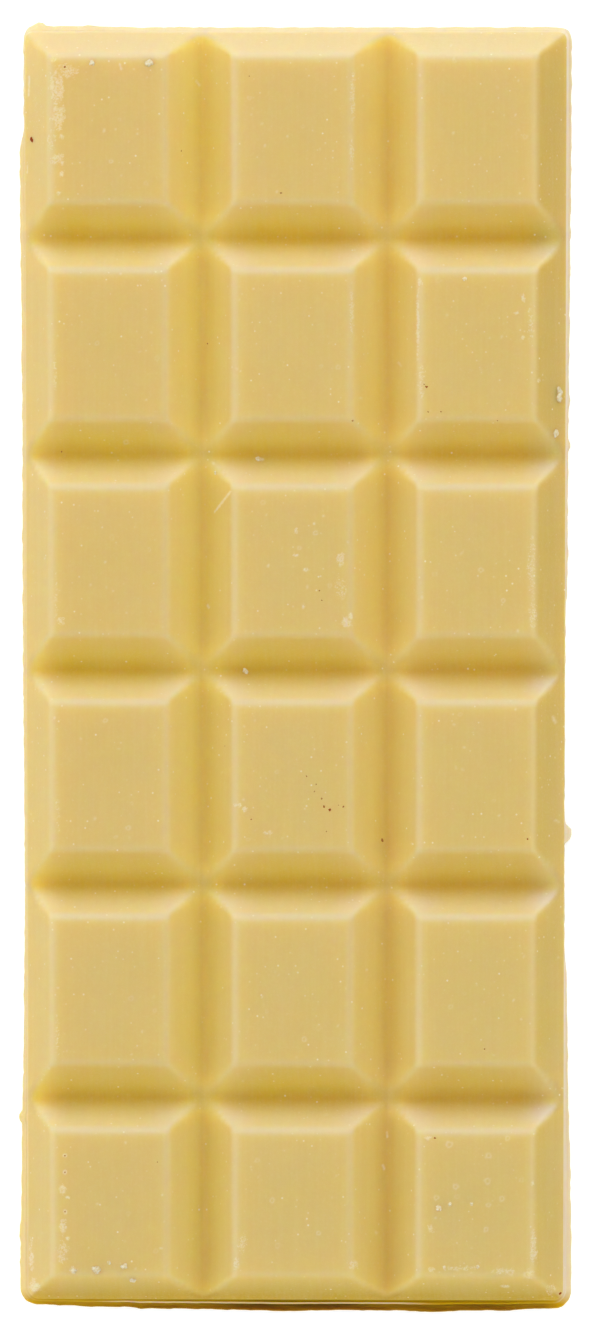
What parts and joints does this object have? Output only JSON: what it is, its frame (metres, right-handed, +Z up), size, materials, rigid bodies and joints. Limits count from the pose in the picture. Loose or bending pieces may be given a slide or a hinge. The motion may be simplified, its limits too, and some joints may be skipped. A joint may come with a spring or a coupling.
{
  "type": "white chocolate bar",
  "caption": "Flat bar of white chocolate with sloped rectangular blocks divided by V-shaped grooves, on a thin slab with drafted walls.",
  "frame": {"origin": "middle of the flat back that the bar rests on", "axes": "+X across the bar, +Y along it, +Z up out of the blocks"},
  "size_m": [0.0688, 0.1604, 0.0088],
  "materials": {
    "white_chocolate": "satin ivory-yellow cocoa butter, slightly translucent, with small air bubbles, pale bloom and a few brown specks"
  },
  "bodies": {
    "root": {"chocolate_bar": "white_chocolate"}
  },
  "joints": []
}
